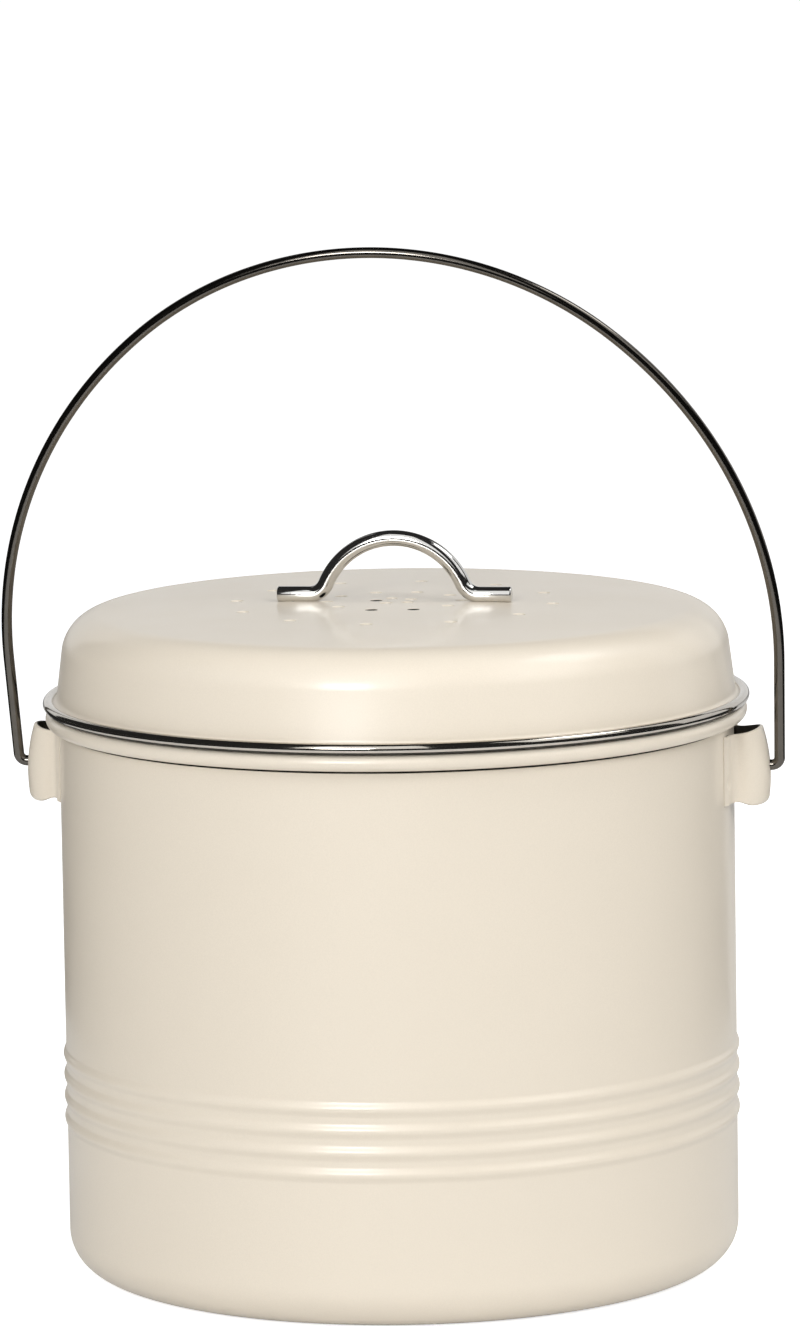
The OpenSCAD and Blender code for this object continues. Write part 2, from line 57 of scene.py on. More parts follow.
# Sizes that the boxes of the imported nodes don't give
SHEET = 0.8 * MM
RIM_ROLL_R = 2.4 * MM
BASE_CORNER_R = 12 * MM
FOOT_RING_W = 7 * MM
BASE_RECESS = 2.5 * MM
EDGE_R = 1 * MM
RIB_COUNT = 4
RIB_Z = 46 * MM
RIB_PITCH = 6.4 * MM
RIB_OUT = 0.75 * MM
RIB_WIDTH = 5.2 * MM
TRIM_R = 1.6 * MM
TRIM_OUT = 0.75 * MM
LID_WALL_OUT = 0.5 * MM
LID_DRAFT = 7.2
LID_CROWN = 2.2
LID_SHOULDER_R = 12.8 * MM
LID_FLARE_R = 2 * MM
VENT_D = 3.6 * MM
VENT_RINGS = ((5.5 * MM, 5, 34), (20 * MM, 10, 6), (47.5 * MM, 12, 28))
# Vents whose walls get painted shade, by ring and place
SHADED_VENTS = ((0, 2), (1, 7), (1, 8))
HANDLE_D = 4.75 * MM
HANDLE_RISE = 16.8 * MM
HANDLE_ARCH_R = 22.2 * MM
HANDLE_BEND_R = 5.5 * MM
HANDLE_FOOT = 9.5 * MM
HANDLE_FLAT = 0.3 * MM
WIRE_D = 3.2 * MM
BAIL_REACH = 161 * MM
BAIL_LEG_OUT = 2.6 * MM
BAIL_BOW_IN = 7.1 * MM
BAIL_SIDE_OUT = 22.6 * MM
BAIL_BOW_HALF = 40
BAIL_BEND_R = 2.4 * MM
BAIL_LEAN = 15
BAIL_HEAD_R = 2.7 * MM
BAIL_HEAD_T = 1.4 * MM
# How far the head's end lies behind the inside of the ear's sheet
BAIL_HEAD_IN = 4.6 * MM
EAR_OUT = 11.3 * MM
EAR_ARCH_R = 8.7 * MM
EAR_HALF_W = 15.7 * MM
EAR_H = 20.6 * MM
EAR_SHEET = 1.2 * MM
EAR_BOW_R = 48 * MM
EAR_BOW_DROP = 3 * MM
WELD_IN = 2.5 * MM
EAR_BLEND_R = 3 * MM
EAR_TOP_CURVE_R = 45 * MM
EAR_BOTTOM_CURVE_R = 70 * MM
HINGE_CLEAR = 0.05 * MM
# How the lower edge of an ear sags towards its face, and how far from the wall most
EAR_SAG = 0.45 * MM
EAR_SAG_OUT = 8.5 * MM
# The seam where the rim's roll ends against the can's wall
SEAM_H = 1.45 * MM
SEAM_DEPTH = 0.45 * MM
# How far from a flange's end its paint begins to run down to the wall, and how thick it ends there
EAR_END_TAPER = 2.4 * MM
EAR_END_T = 0.15 * MM
# The roundings of an ear's cut edges and of its lower corner, and how much of the corner's is taken
EAR_EDGE_R = 0.3 * MM
EAR_CORNER_R = 2.2 * MM
EAR_CORNER_SHARE = 0.8
# Rows of faces up an ear, and steps round each of its cut edges
EAR_ROWS = 48
EAR_EDGE_STEPS = 12

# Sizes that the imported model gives
RIM_OUT_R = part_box("body_shell")[1].x
RIM_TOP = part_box("body_shell")[1].z
RIM_X = RIM_OUT_R - RIM_ROLL_R
RIM_Z = RIM_TOP - RIM_ROLL_R
WALL_R = RIM_X - RIM_ROLL_R + SHEET
RECESS_R = WALL_R - BASE_CORNER_R - FOOT_RING_W
TRIM_X = RIM_OUT_R + TRIM_OUT - TRIM_R
TRIM_Z = sum(corner.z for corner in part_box("lid_trim_ring")) / 2
LID_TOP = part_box("lid_shell")[1].z
HINGE_Z = next(j for j in frame["joints"] if j["name"] == "bail_swing")["pos_m"][2]
PAD_LOW, PAD_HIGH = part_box("charcoal_filter")


# ---- Mesh tools ----

def sind(degrees):
    return math.sin(math.radians(degrees))


def cosd(degrees):
    return math.cos(math.radians(degrees))


def tand(degrees):
    return math.tan(math.radians(degrees))


def arc(x, y, r, start, end, steps):
    """Points on an arc about (x, y), with its angles in degrees."""
    turns = (start + (end - start) * i / steps for i in range(steps + 1))
    return [(x + r * cosd(turn), y + r * sind(turn)) for turn in turns]


def smooth_piece(name, bm):
    """Makes an object of a finished bmesh, smooth but for its sharp edges."""
    bmesh.ops.recalc_face_normals(bm, faces=bm.faces)
    mesh = bpy.data.meshes.new(name)
    bm.to_mesh(mesh)
    bm.free()
    piece = bpy.data.objects.new(name, mesh)
    bpy.context.scene.collection.objects.link(piece)
    shade(piece)
    return piece


def shade(piece):
    piece.data.polygons.foreach_set("use_smooth", [True] * len(piece.data.polygons))
    piece.data.set_sharp_from_angle(angle=SHARP_ANGLE)


def bake(piece):
    """Applies the piece's modifiers to its mesh."""
    graph = bpy.context.evaluated_depsgraph_get()
    mesh = bpy.data.meshes.new_from_object(piece.evaluated_get(graph))
    piece.modifiers.clear()
    piece.data = mesh
    shade(piece)


def lathe(name, outline, closed=False, steps=TURN_STEPS):
    """Turns an outline of (radius, height) points about Z. A closed outline is a ring's section."""
    on_axis = 1e-7
    bm = bmesh.new()
    rings = []
    for r, z in outline:
        if r < on_axis:
            rings.append([bm.verts.new((0, 0, z))])
            continue
        turns = (360 * i / steps for i in range(steps))
        rings.append([bm.verts.new((r * cosd(turn), r * sind(turn), z)) for turn in turns])
    pairs = list(zip(rings, rings[1:]))
    if closed:
        pairs.append((rings[-1], rings[0]))
    for a, b in pairs:
        for i in range(steps):
            j = (i + 1) % steps
            low = a if len(a) == 1 else [a[i], a[j]]
            high = b if len(b) == 1 else [b[j], b[i]]
            bm.faces.new(low + high)
    return smooth_piece(name, bm)


def sweep(name, path, radii, sides=WIRE_SIDES):
    """A round bar along a path of (x, z) points in the XZ plane, with a radius at each point."""
    bm = bmesh.new()
    rings = []
    last = len(path) - 1
    for i, ((x, z), r) in enumerate(zip(path, radii)):
        before = path[max(i - 1, 0)]
        after = path[min(i + 1, last)]
        along = Vector((after[0] - before[0], 0, after[1] - before[1])).normalized()
        across = Vector((-along.z, 0, along.x))
        ring = []
        for k in range(sides):
            turn = 360 * k / sides
            ring.append(bm.verts.new(Vector((x, r * sind(turn), z)) + across * r * cosd(turn)))
        rings.append(ring)
    for a, b in zip(rings, rings[1:]):
        for i in range(sides):
            j = (i + 1) % sides
            bm.faces.new((a[i], a[j], b[j], b[i]))
    bm.faces.new(rings[0])
    bm.faces.new(rings[-1])
    return smooth_piece(name, bm)


def cut(piece, cutter):
    """Cuts one piece out of another, and removes the cutter."""
    modifier = piece.modifiers.new("cut", "BOOLEAN")
    modifier.operation = "DIFFERENCE"
    modifier.solver = "EXACT"
    modifier.object = cutter
    bake(piece)
    bpy.data.objects.remove(cutter)


# ---- Materials ----

class Surface:
    """A procedural material on one principled shader."""

    def __init__(self, name, colour, roughness, metallic=0.0, **sockets):
        self.material = bpy.data.materials.new(name)
        self.material.use_nodes = True
        self.nodes = self.material.node_tree.nodes
        self.links = self.material.node_tree.links
        self.shader = self.nodes["Principled BSDF"]
        self.colour = colour
        self.shader.inputs["Base Color"].default_value = (*colour, 1)
        self.shader.inputs["Roughness"].default_value = roughness
        self.shader.inputs["Metallic"].default_value = metallic
        for socket, value in sockets.items():
            self.shader.inputs[socket.replace("_", " ").title()].default_value = value
        self.place = self.nodes.new("ShaderNodeTexCoord").outputs["Object"]
        self.bump = None

    def add(self, kind, **values):
        node = self.nodes.new("ShaderNode" + kind)
        for name, value in values.items():
            node.inputs[name].default_value = value
        return node

    def noise(self, scale, detail=3.0):
        """A noise from 0 to 1, with scale features a metre."""
        texture = self.add("TexNoise", Scale=scale, Detail=detail)
        self.links.new(self.place, texture.inputs["Vector"])
        return texture.outputs["Fac"]

    def around(self, across, along):
        """A noise drawn out round the Z axis, as turning or rolling leaves it."""
        split = self.add("SeparateXYZ")
        self.links.new(self.place, split.inputs[0])
        turn = self.add("Math")
        turn.operation = "ARCTAN2"
        self.links.new(split.outputs["Y"], turn.inputs[0])
        self.links.new(split.outputs["X"], turn.inputs[1])
        flat = self.add("VectorMath")
        flat.operation = "MULTIPLY"
        flat.inputs[1].default_value = (1, 1, 0)
        self.links.new(self.place, flat.inputs[0])
        length = self.add("VectorMath")
        length.operation = "LENGTH"
        self.links.new(flat.outputs["Vector"], length.inputs[0])
        join = self.add("CombineXYZ")
        self.links.new(turn.outputs[0], join.inputs["X"])
        self.links.new(length.outputs["Value"], join.inputs["Y"])
        self.links.new(split.outputs["Z"], join.inputs["Z"])
        mapping = self.add("Mapping", Scale=(along, across, across))
        self.links.new(join.outputs[0], mapping.inputs["Vector"])
        texture = self.add("TexNoise", Scale=1.0, Detail=4.0)
        self.links.new(mapping.outputs["Vector"], texture.inputs["Vector"])
        return texture.outputs["Fac"]

    def remap(self, value, low, high, from_low=0.3, from_high=0.7):
        """Spreads the middle of a noise over the range from low to high."""
        node = self.add("MapRange")
        limits = (("From Min", from_low), ("From Max", from_high), ("To Min", low), ("To Max", high))
        for socket, number in limits:
            node.inputs[socket].default_value = number
        self.links.new(value, node.inputs["Value"])
        return node.outputs["Result"]

    def tint(self, value, other, amount=1.0):
        """Mixes another colour into the base colour where the value is high."""
        mix = self.nodes.new("ShaderNodeMix")
        mix.data_type = "RGBA"
        socket = self.shader.inputs["Base Color"]
        if socket.is_linked:
            self.links.new(socket.links[0].from_socket, mix.inputs["A"])
        else:
            mix.inputs["A"].default_value = (*self.colour, 1)
        mix.inputs["B"].default_value = (*other, 1)
        self.links.new(self.remap(value, 0, amount), mix.inputs["Factor"])
        self.links.new(mix.outputs["Result"], socket)

    def polish(self, value, low, high):
        """Varies the roughness from low to high."""
        self.links.new(self.remap(value, low, high), self.shader.inputs["Roughness"])

    def emboss(self, value, depth):
        """Adds a bump of that depth, in metres."""
        node = self.add("Bump", Strength=1.0, Distance=depth)
        self.links.new(value, node.inputs["Height"])
        if self.bump:
            self.links.new(self.bump, node.inputs["Normal"])
        self.bump = node.outputs["Normal"]
        self.links.new(self.bump, self.shader.inputs["Normal"])


def shaded(colour, share):
    """A colour made lighter or darker."""
    return tuple(min(1.0, channel * share) for channel in colour)


def cream_enamel():
    cream = (0.81, 0.73, 0.61)
    paint = Surface("cream_enamel", cream, 0.36, coat_weight=0.3, coat_roughness=0.14)
    paint.tint(paint.noise(9), shaded(cream, 0.975))
    paint.tint(paint.noise(2600, 2), shaded(cream, 0.955))
    paint.polish(paint.noise(45), 0.33, 0.40)
    paint.emboss(paint.noise(620, 2), 0.012 * MM)
    paint.emboss(paint.noise(140, 1), 0.02 * MM)
    return paint.material


def trim_steel():
    steel = (0.62, 0.58, 0.52)
    metal = Surface("trim_steel", steel, 0.09, metallic=1.0)
    metal.tint(metal.around(2200, 30), shaded(steel, 0.86))
    metal.polish(metal.around(3000, 60), 0.06, 0.12)
    metal.emboss(metal.around(6000, 40), 0.002 * MM)
    return metal.material


def bail_steel():
    steel = (0.15, 0.138, 0.122)
    metal = Surface("bail_wire", steel, 0.13, metallic=1.0)
    metal.tint(metal.noise(180, 4), shaded(steel, 0.85))
    metal.polish(metal.noise(400, 4), 0.1, 0.17)
    metal.emboss(metal.noise(2400, 3), 0.003 * MM)
    return metal.material


def handle_chrome():
    chrome = (0.72, 0.71, 0.69)
    metal = Surface("handle_chrome", chrome, 0.08, metallic=1.0)
    metal.tint(metal.noise(240, 3), shaded(chrome, 0.94))
    metal.polish(metal.noise(600, 4), 0.06, 0.11)
    metal.emboss(metal.noise(300, 2), 0.006 * MM)
    return metal.material


def painted_shade():
    """Painted shade: a near-black surface put where shade falls, in the seam under the rim, on the
    trim's underside, inside the ears and in a few vents.
    """
    base = (0.022, 0.02, 0.013)
    metal = Surface("painted_shade", base, 0.6)
    metal.tint(metal.noise(700, 3), shaded(base, 0.7))
    metal.polish(metal.noise(900, 3), 0.5, 0.7)
    return metal.material


def zinc():
    plate = (0.50, 0.50, 0.50)
    metal = Surface("screw_steel", plate, 0.3, metallic=1.0)
    metal.tint(metal.noise(900, 4), shaded(plate, 0.8))
    metal.polish(metal.noise(1500, 4), 0.24, 0.42)
    return metal.material


def pale_plastic():
    base = (0.70, 0.67, 0.59)
    plastic = Surface("pale_plastic", base, 0.5, subsurface_weight=0.08, subsurface_scale=2 * MM)
    plastic.tint(plastic.noise(30), shaded(base, 0.96))
    plastic.polish(plastic.noise(500), 0.44, 0.56)
    plastic.emboss(plastic.noise(2500, 2), 0.012 * MM)
    return plastic.material


def silicone():
    base = (0.62, 0.61, 0.56)
    rubber = Surface("seal_rubber", base, 0.48, subsurface_weight=0.3, subsurface_scale=2 * MM)
    rubber.tint(rubber.around(900, 40), shaded(base, 0.93))
    rubber.polish(rubber.noise(700), 0.42, 0.58)
    return rubber.material


def charcoal_foam():
    black = (0.016, 0.016, 0.017)
    foam = Surface("charcoal_felt", black, 0.95, sheen_weight=0.2, sheen_roughness=0.6)
    cells = foam.add("TexVoronoi", Scale=900.0)
    foam.links.new(foam.place, cells.inputs["Vector"])
    foam.tint(cells.outputs["Distance"], (0.05, 0.05, 0.052), 0.9)
    foam.emboss(cells.outputs["Distance"], 0.6 * MM)
    foam.emboss(foam.noise(300, 5), 0.3 * MM)
    return foam.material


def bucket_plastic():
    grey = (0.10, 0.11, 0.105)
    plastic = Surface("bucket_plastic", grey, 0.42, coat_weight=0.05)
    plastic.tint(plastic.noise(20), shaded(grey, 1.1))
    plastic.tint(plastic.around(400, 12), shaded(grey, 0.92))
    plastic.polish(plastic.noise(260, 4), 0.36, 0.5)
    plastic.emboss(plastic.noise(1800, 2), 0.02 * MM)
    return plastic.material


# ---- Can ----

def rib_rise(z):
    """How far the can's wall stands out at a height, by its ribs."""
    for i in range(RIB_COUNT):
        share = (z - RIB_Z - i * RIB_PITCH) / RIB_WIDTH
        if abs(share) < 0.5:
            return RIB_OUT * (1 + cosd(360 * share)) / 2
    return 0.0


def wall_points(inset):
    """The can's wall from its base to its rim, ribs included, moved in by the inset."""
    low = RIB_Z - RIB_WIDTH / 2
    high = RIB_Z + (RIB_COUNT - 1) * RIB_PITCH + RIB_WIDTH / 2
    steps = 24 * RIB_COUNT
    heights = [low + (high - low) * i / steps for i in range(steps + 1)]
    return [(WALL_R - inset + rib_rise(z), z) for z in heights]


def can_outline():
    corner_x = WALL_R - BASE_CORNER_R
    floor = BASE_RECESS + SHEET
    tuck = math.degrees(math.acos((WALL_R - RIM_X) / RIM_ROLL_R))
    tuck_z = RIM_Z - RIM_ROLL_R * sind(tuck)
    outline = [(0, BASE_RECESS)]
    outline += arc(RECESS_R - EDGE_R, BASE_RECESS - EDGE_R, EDGE_R, 90, 0, 6)
    outline += arc(RECESS_R + EDGE_R, EDGE_R, EDGE_R, 180, 270, 6)
    outline += arc(corner_x, BASE_CORNER_R, BASE_CORNER_R, 270, 360, 24)
    outline += wall_points(0)
    outline += [(WALL_R, tuck_z - SEAM_H), (WALL_R - SEAM_DEPTH, tuck_z - 0.8 * SEAM_H)]
    outline.append((WALL_R - SEAM_DEPTH, tuck_z))
    outline += arc(RIM_X, RIM_Z, RIM_ROLL_R, 360 - tuck, 540, 40)
    outline += reversed(wall_points(SHEET))
    outline += arc(corner_x, BASE_CORNER_R, BASE_CORNER_R - SHEET, 0, -90, 18)
    outline += [(RECESS_R + SHEET, SHEET), (RECESS_R + SHEET, floor), (0, floor)]
    return outline


def make_can(paint, dark):
    can = lathe("can", can_outline())
    dress(can, paint, "caddy", "body_shell")
    can.data.materials.append(dark)
    # The faces of the seam, found between the wall's two faces under the roll, get painted shade
    inner_r = WALL_R - SEAM_DEPTH - 0.1 * MM
    outer_r = WALL_R - 0.05 * MM
    seam_z = RIM_Z - RIM_ROLL_R - SEAM_H
    for face in can.data.polygons:
        middle = face.center
        if inner_r < middle.xy.length < outer_r and seam_z < middle.z < RIM_Z:
            face.material_index = 1


# ---- Bail ears ----

def ear_plan():
    """Plan of an ear's outer face, (x, y) from its -Y flange to its +Y flange."""
    flange_r = WALL_R + EAR_SHEET
    corner_y = EAR_ARCH_R + EAR_BLEND_R
    start_x = math.sqrt(flange_r ** 2 - corner_y ** 2)
    flange_turn = math.degrees(math.asin(EAR_HALF_W / flange_r))
    corner_turn = math.degrees(math.asin(corner_y / flange_r))
    arch_x = WALL_R + EAR_OUT - EAR_ARCH_R
    taper_turn = math.degrees(EAR_END_TAPER / flange_r)
    taper_steps = 8
    blend_end, arch_start = 262, 84
    half = []
    for i in range(taper_steps):
        turn = flange_turn - taper_turn * i / taper_steps
        r = WALL_R + EAR_END_T + (EAR_SHEET - EAR_END_T) * (1 - cosd(180 / taper_steps * i)) / 2
        half.append((r * cosd(turn), r * sind(turn)))
    half += arc(0, 0, flange_r, flange_turn - taper_turn, corner_turn, 8)
    half += arc(start_x + EAR_BLEND_R, corner_y, EAR_BLEND_R, 180, blend_end, 10)[1:]
    half += arc(arch_x, 0, EAR_ARCH_R, arch_start, 0, 24)
    return [(x, -y) for x, y in half] + half[-2::-1]


def ear_heights(x):
    """Lowest and highest point of an ear at a distance from the can's axis."""
    out = x - WALL_R
    top = HINGE_Z + EAR_H / 2 + EAR_TOP_CURVE_R - math.sqrt(EAR_TOP_CURVE_R ** 2 - out ** 2)
    bottom = HINGE_Z - EAR_H / 2 - EAR_BOTTOM_CURVE_R + math.sqrt(EAR_BOTTOM_CURVE_R ** 2 - out ** 2)
    rise_out = 2 * MM
    sag = EAR_SAG * cosd(360 * (out - EAR_SAG_OUT) / (2 * EAR_SAG_OUT - 2 * rise_out))
    return bottom - sag * min(max(out / rise_out, 0), 1), top


def weld_dip(y, z):
    """Depth of the spot weld's dimple at a point of a flange."""
    middle_y = EAR_HALF_W - WELD_IN
    middle_z = HINGE_Z - EAR_H / 6
    reach_y = 1.5 * MM
    reach_z = 2.5 * MM
    depth = 0.6 * MM
    edge_softness = 1.5
    away = ((abs(y) - middle_y) / reach_y) ** 2 + ((z - middle_z) / reach_z) ** 2
    return depth * max(0, 1 - away) ** edge_softness


def ear_shift(x, y, z, bottom):
    """How far a point of an ear's plan moves in at a height, by its bow, its corner and its dimple."""
    flange_r = WALL_R + EAR_SHEET
    share = min(max((x - flange_r) / (WALL_R + EAR_OUT - flange_r), 0), 1)
    bow = EAR_BOW_R - math.sqrt(EAR_BOW_R ** 2 - (z - HINGE_Z + EAR_BOW_DROP) ** 2)
    near = max(0, EAR_CORNER_R - (z - bottom))
    corner = EAR_CORNER_R - math.sqrt(EAR_CORNER_R ** 2 - near ** 2)
    return (bow + EAR_CORNER_SHARE * corner) * share + weld_dip(y, z)


def ear_column(outer, inner):
    """A closed loop of points up an ear's outer face and down its inner one, with round edges."""
    bottom, top = ear_heights(outer[0])
    low, high = bottom + EAR_EDGE_R, top - EAR_EDGE_R
    climb = [low + (high - low) * i / EAR_ROWS for i in range(EAR_ROWS + 1)]
    turns = [180 / EAR_EDGE_STEPS * i for i in range(1, EAR_EDGE_STEPS)]
    loop = [(0, z) for z in climb]
    loop += [((1 - cosd(turn)) / 2, high + EAR_EDGE_R * sind(turn)) for turn in turns]
    loop += [(1, z) for z in reversed(climb)]
    loop += [((1 + cosd(turn)) / 2, low - EAR_EDGE_R * sind(turn)) for turn in turns]
    points = []
    for depth, z in loop:
        x, y = (a + (b - a) * depth for a, b in zip(outer, inner))
        points.append((x - ear_shift(*outer, z, bottom), y, z))
    return points


def ear_inside(plan):
    """Plan of an ear's inner face: the outer one moved in by the sheet, but not into the wall."""
    inside = []
    for i, (x, y) in enumerate(plan):
        before, after = plan[max(i - 1, 0)], plan[min(i + 1, len(plan) - 1)]
        along = Vector((after[0] - before[0], after[1] - before[1])).normalized()
        point = Vector((x - along.y * EAR_SHEET, y + along.x * EAR_SHEET))
        if point.length < WALL_R:
            point = point.normalized() * (WALL_R - 0.1 * MM)
        inside.append(tuple(point))
    return inside


def make_ear(name, side, paint, dark, node):
    # An ear gets painted shade from half-way over its top edge, down its inside and under its lower
    # edge
    first_shaded = EAR_ROWS + 7
    last_shaded = 2 * EAR_ROWS + 19
    plan = ear_plan()
    bm = bmesh.new()
    columns = []
    for outer, inner in zip(plan, ear_inside(plan)):
        points = ear_column(outer, inner)
        columns.append([bm.verts.new((side * x, y, z)) for x, y, z in points])
    count = len(columns[0])
    for a, b in zip(columns, columns[1:]):
        for i in range(count):
            j = (i + 1) % count
            face = bm.faces.new((a[i], a[j], b[j], b[i]))
            face.material_index = 1 if first_shaded <= i <= last_shaded else 0
    bm.faces.new(columns[0])
    bm.faces.new(columns[-1])
    ear = smooth_piece(name, bm)
    ear.data.materials.append(paint)
    ear.data.materials.append(dark)
    cut(ear, pin_hole(side))
    dress(ear, paint, "caddy", node)


def pin_hole(side):
    """What the hole for the bail takes out of an ear's face."""
    start = (WALL_R + EAR_OUT / 2) * side
    end = (WALL_R + 2 * EAR_OUT) * side
    r = WIRE_D / 2 + HINGE_CLEAR
    return sweep("pin_hole", [(start, HINGE_Z), (end, HINGE_Z)], [r, r])


# ---- Bail ----

def bail_half_path():
    """Path of the bail's right half from its top to the head in the ear, (x, height over the hinge)."""
    leg_x = WALL_R + EAR_OUT + BAIL_LEG_OUT
    bow_r = leg_x - BAIL_BOW_IN
    side_r = bow_r + BAIL_SIDE_OUT
    bow_z = BAIL_REACH - bow_r
    side_x = -BAIL_SIDE_OUT * sind(BAIL_BOW_HALF)
    side_z = bow_z - BAIL_SIDE_OUT * cosd(BAIL_BOW_HALF)
    reach = math.hypot(leg_x - side_x, side_z)
    splay = math.degrees(math.atan2(leg_x - side_x, side_z) - math.asin(side_r / reach))
    rise = BAIL_BEND_R * (1 + sind(splay))
    bend_x = leg_x - rise * tand(splay) - BAIL_BEND_R * cosd(splay)
    head_x = WALL_R + EAR_OUT - EAR_SHEET - BAIL_HEAD_IN
    straight, neck = 0.5 * MM, 0.4 * MM
    path = arc(0, bow_z, bow_r, 90, 90 - BAIL_BOW_HALF, 48)
    path += arc(side_x, side_z, side_r, 90 - BAIL_BOW_HALF, splay, 48)[1:]
    top, bottom = path[-1], (bend_x + BAIL_BEND_R * cosd(splay), rise)
    leg_steps = 12
    for i in range(1, leg_steps):
        share = i / leg_steps
        path.append(tuple(a + (b - a) * share for a, b in zip(top, bottom)))
    path += arc(bend_x, BAIL_BEND_R, BAIL_BEND_R, splay, -90, 20)
    path += [(bend_x - straight, 0), (head_x + BAIL_HEAD_T + neck, 0)]
    return path, head_x


def make_bail(steel):
    half, head_x = bail_half_path()
    radii = [WIRE_D / 2] * len(half)
    round_r, edge = 0.5 * MM, 0.1 * MM
    half += [(head_x + BAIL_HEAD_T, 0), (head_x + BAIL_HEAD_T - edge, 0)]
    half += [(head_x + round_r, 0), (head_x + round_r / 3, 0), (head_x, 0)]
    radii += [WIRE_D / 2, BAIL_HEAD_R - edge]
    radii += [BAIL_HEAD_R, BAIL_HEAD_R - round_r / 3, BAIL_HEAD_R - round_r]
    path = [(-x, z) for x, z in reversed(half)] + half[1:]
    bail = sweep("carry_bail_wire", path, radii[::-1] + radii[1:])
    lean = Matrix.Rotation(math.radians(BAIL_LEAN), 4, "X")
    bail.data.transform(Matrix.Translation((0, 0, HINGE_Z)) @ lean)
    dress(bail, steel, "bail", "carry_bail")


# ---- Lid ----

FLANGE_TOP = TRIM_Z + SHEET / 2
FLARE_Z = FLANGE_TOP + LID_FLARE_R
FLARE_X = WALL_R + LID_WALL_OUT + LID_FLARE_R / cosd(LID_DRAFT)
SHOULDER_X = (
    WALL_R + LID_WALL_OUT - LID_SHOULDER_R * cosd(LID_DRAFT)
    - (LID_TOP - LID_SHOULDER_R + LID_SHOULDER_R * sind(LID_DRAFT) - FLARE_Z) * tand(LID_DRAFT)
) / (1 - tand(LID_CROWN / 2) * tand(LID_DRAFT))
SHOULDER_Z = LID_TOP - LID_SHOULDER_R - SHOULDER_X * tand(LID_CROWN / 2)
CROWN_R = LID_SHOULDER_R + SHOULDER_X / sind(LID_CROWN)
CROWN_Z = LID_TOP - CROWN_R


def crown_height(r):
    """Height of the lid's top at a distance from its axis."""
    return CROWN_Z + math.sqrt(CROWN_R ** 2 - r ** 2)


def lid_face(inset):
    """Outline of the lid's outer face from its middle to its flange, moved in by the inset."""
    face = arc(0, CROWN_Z, CROWN_R - inset, 90, 90 - LID_CROWN, 20)
    face[0] = (0, LID_TOP - inset)
    face += arc(SHOULDER_X, SHOULDER_Z, LID_SHOULDER_R - inset, 90 - LID_CROWN, LID_DRAFT, 32)[1:]
    face += arc(FLARE_X, FLARE_Z, LID_FLARE_R + inset, 180 + LID_DRAFT, 270, 12)
    face.append((TRIM_X, FLANGE_TOP - inset))
    return face


def vent_cutter(r, turn):
    """A vent's hole with its worn edge, as rings of a turned outline."""
    top = crown_height(r)
    edge = 0.3 * MM
    radius = VENT_D / 2
    outline = [(0, top - 3 * SHEET), (radius, top - 3 * SHEET), (radius, top - edge)]
    outline += [(radius + 0.25 * edge, top - 0.4 * edge), (radius + edge, top + 0.2 * edge)]
    outline += [(radius + edge, top + SHEET), (0, top + SHEET)]
    cutter = lathe("vent", outline, steps=24)
    cutter.data.transform(Matrix.Rotation(math.radians(turn), 4, "Z") @ Matrix.Translation((r, 0, 0)))
    return cutter


def joined(pieces):
    """One object of several that don't touch."""
    bm = bmesh.new()
    for piece in pieces:
        bm.from_mesh(piece.data)
    whole = smooth_piece("joined", bm)
    for piece in pieces:
        bpy.data.objects.remove(piece)
    return whole


def make_lid(paint, steel, dark):
    lid = lathe("lid_dome", lid_face(0) + lid_face(SHEET)[::-1])
    vents = []
    for r, count, start in VENT_RINGS:
        vents += [vent_cutter(r, start + 360 * i / count) for i in range(count)]
    cut(lid, joined(vents))
    dress(lid, paint, "lid", "lid_shell")
    lid.data.materials.append(dark)
    # The walls of a few vents get painted shade
    steep = 0.7
    reach = VENT_D / 2 + 0.1 * MM
    for ring, place in SHADED_VENTS:
        r, count, start = VENT_RINGS[ring]
        turn = start + 360 * place / count
        middle = Vector((r * cosd(turn), r * sind(turn)))
        for face in lid.data.polygons:
            if abs(face.normal.z) < steep and (face.center.xy - middle).length < reach:
                face.material_index = 1
    trim = lathe("lid_trim", arc(TRIM_X, TRIM_Z, TRIM_R, 0, 360, 40)[:-1], closed=True)
    dress(trim, steel, "lid", "lid_trim_ring")
    trim.data.materials.append(dark)
    # The trim's faces that point down get painted shade, the dark line between trim and rim
    shade_facing_down = -0.62
    for face in trim.data.polygons:
        if face.normal.z < shade_facing_down:
            face.material_index = 1


def make_handle(chrome):
    r = HANDLE_D / 2
    turn = math.degrees(math.acos(1 - HANDLE_RISE / (HANDLE_ARCH_R + HANDLE_BEND_R)))
    bend_x = (HANDLE_ARCH_R + HANDLE_BEND_R) * sind(turn)
    foot_z = crown_height(bend_x + HANDLE_FOOT / 2) + r - HANDLE_FLAT
    end_x = bend_x + HANDLE_FOOT
    end_r = 0.45 * MM
    half = arc(0, foot_z + HANDLE_RISE - HANDLE_ARCH_R, HANDLE_ARCH_R, 90, 90 - turn, 30)
    half += arc(bend_x, foot_z + HANDLE_BEND_R, HANDLE_BEND_R, 270 - turn, 270, 20)[1:]
    radii = [r] * len(half)
    # The bar's rounded end: how far back from it, and how much thinner, as shares of the rounding
    for back, less in ((1, 0), (0.6, 0.12), (0.25, 0.4), (0, 1)):
        half.append((end_x - back * end_r, foot_z))
        radii.append(r - less * end_r)
    path = [(-x, z) for x, z in reversed(half)] + half[1:]
    handle = sweep("lid_pull", path, radii[::-1] + radii[1:], sides=40)
    for vertex in handle.data.vertices:
        vertex.co.z = max(vertex.co.z, crown_height(vertex.co.xy.length))
    dress(handle, chrome, "lid", "lid_handle")


